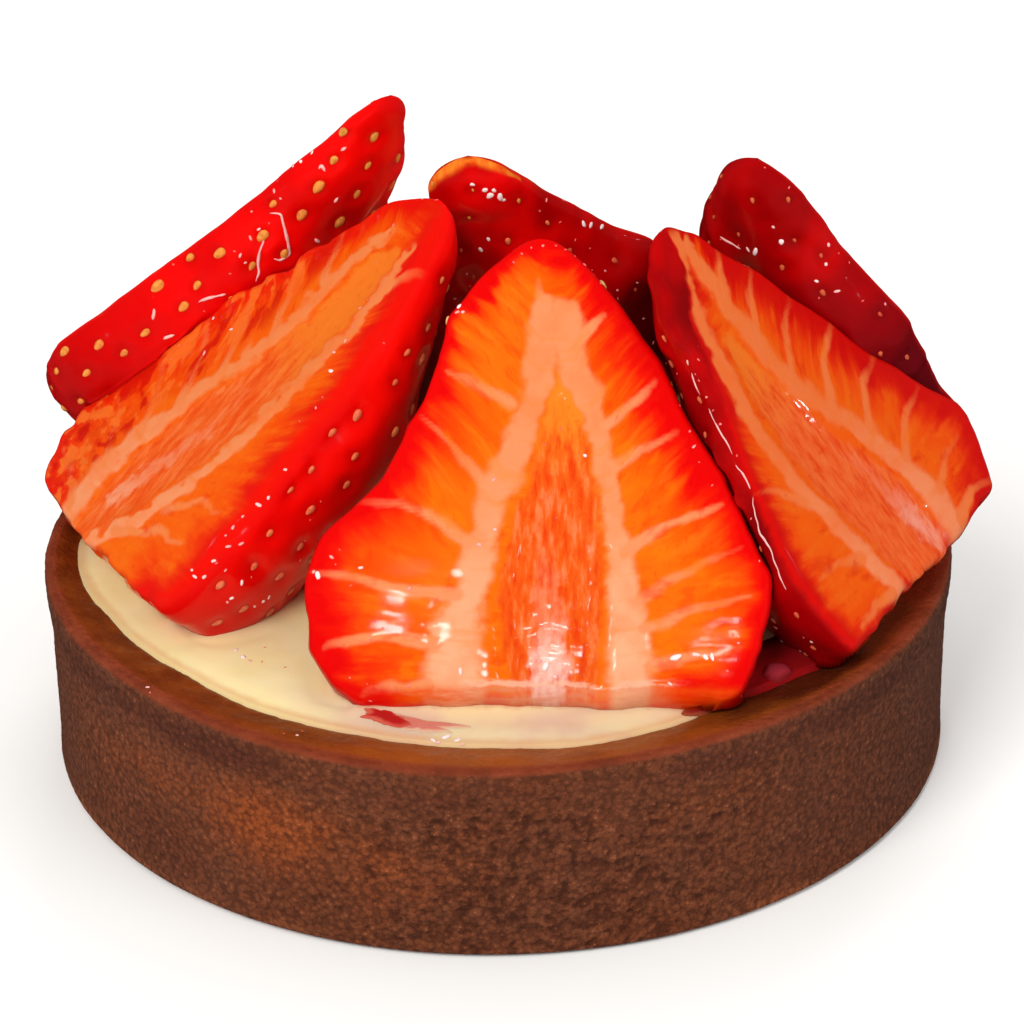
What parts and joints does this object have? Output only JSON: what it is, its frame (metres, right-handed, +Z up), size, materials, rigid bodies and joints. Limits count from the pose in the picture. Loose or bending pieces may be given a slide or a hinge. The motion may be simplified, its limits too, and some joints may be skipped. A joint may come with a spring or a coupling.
{
  "type": "strawberry tart",
  "caption": "Individual tart with a straight-walled cocoa shortcrust shell, pastry cream filling and a crown of glazed strawberry halves leaning together.",
  "frame": {"origin": "centre of the flat underside of the crust shell", "axes": "+Z up through the crown of strawberries, -Y towards the front half that shows its cut face, +X to the right of that"},
  "size_m": [0.0851, 0.0801, 0.0559],
  "materials": {
    "cocoa_crust": "baked cocoa shortcrust: fine grain, matt wall, rim with a slight sheen",
    "pastry_cream": "smooth set pastry cream under a thin glaze, glossy",
    "strawberry": "fresh strawberry, red skin and orange to pale cut flesh, wet with clear glaze",
    "strawberry_seed": "small yellow seeds, glossy under glaze",
    "red_juice": "dark red strawberry juice, wet and clear"
  },
  "bodies": {
    "root": {"crust_shell": "cocoa_crust", "cream_filling": "pastry_cream", "strawberry_half_front": "strawberry", "strawberry_half_front_left": "strawberry", "strawberry_half_front_right": "strawberry", "strawberry_half_back_left": "strawberry", "strawberry_half_back_right": "strawberry", "strawberry_half_back": "strawberry"}
  },
  "joints": []
}
